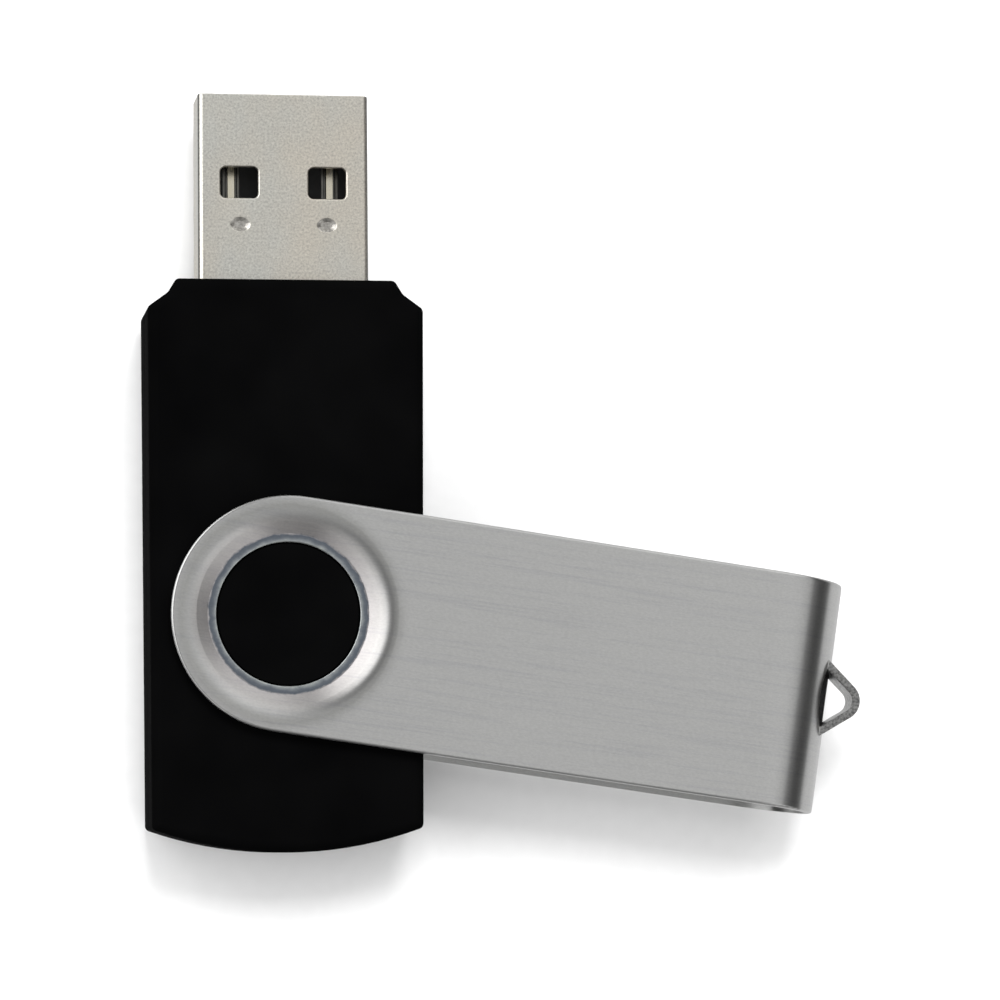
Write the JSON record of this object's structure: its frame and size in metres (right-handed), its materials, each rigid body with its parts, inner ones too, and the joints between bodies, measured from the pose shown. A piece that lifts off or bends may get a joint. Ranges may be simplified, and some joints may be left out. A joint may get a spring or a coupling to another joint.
{
  "type": "usb flash drive",
  "caption": "Flat rectangular memory stick with a plug at one end and a folded metal cover that swivels about a round boss, with a keyring loop on its fold.",
  "frame": {"origin": "centre of the plug's mouth, at mid-thickness of the drive", "axes": "+Y out of the plug's mouth along its insertion axis; +Z through the drive's thickness, towards the face with the plug's open side; +X to the right seen from +Z. The swivel cover is stored part-open, about 99 degrees from closed, on the +X side."},
  "size_m": [0.0505, 0.0532, 0.0106],
  "materials": {
    "brushed_sheet": "lengthwise brushed, satin",
    "case_plastic": "fine moulded texture, black",
    "plug_plate": "satin plated sheet",
    "insulator_plastic": "moulded, black",
    "contact_gold": "pale gold plate",
    "board_laminate": "green solder mask",
    "chip_resin": "moulded epoxy",
    "tinned_lead": "bright tin",
    "ceramic_base": "fired ceramic",
    "capacitor_tan": "fired ceramic"
  },
  "bodies": {
    "drive": {"front_shell": "case_plastic", "rear_shell": "case_plastic", "plug_shell": "plug_plate", "plug_insulator": "insulator_plastic", "contact_vbus": "contact_gold", "contact_data_minus": "contact_gold", "contact_data_plus": "contact_gold", "contact_ground": "contact_gold", "circuit_board": "board_laminate", "controller_chip": "chip_resin", "controller_leads": "tinned_lead", "flash_chip": "chip_resin", "flash_leads": "tinned_lead", "crystal_base": "ceramic_base", "crystal_lid": "tinned_lead", "capacitors": "capacitor_tan", "capacitor_terminals": "tinned_lead", "resistors": "ceramic_base", "resistor_terminals": "tinned_lead", "solder_joints": "tinned_lead"},
    "cover": {"swivel_cover": "brushed_sheet"}
  },
  "joints": [
    {"name": "cover_swivel", "type": "hinge", "parent": "drive", "child": "cover", "pos_m": [0, -0.03674, 0], "axis": [0, 0, 1], "continuous": true}
  ]
}
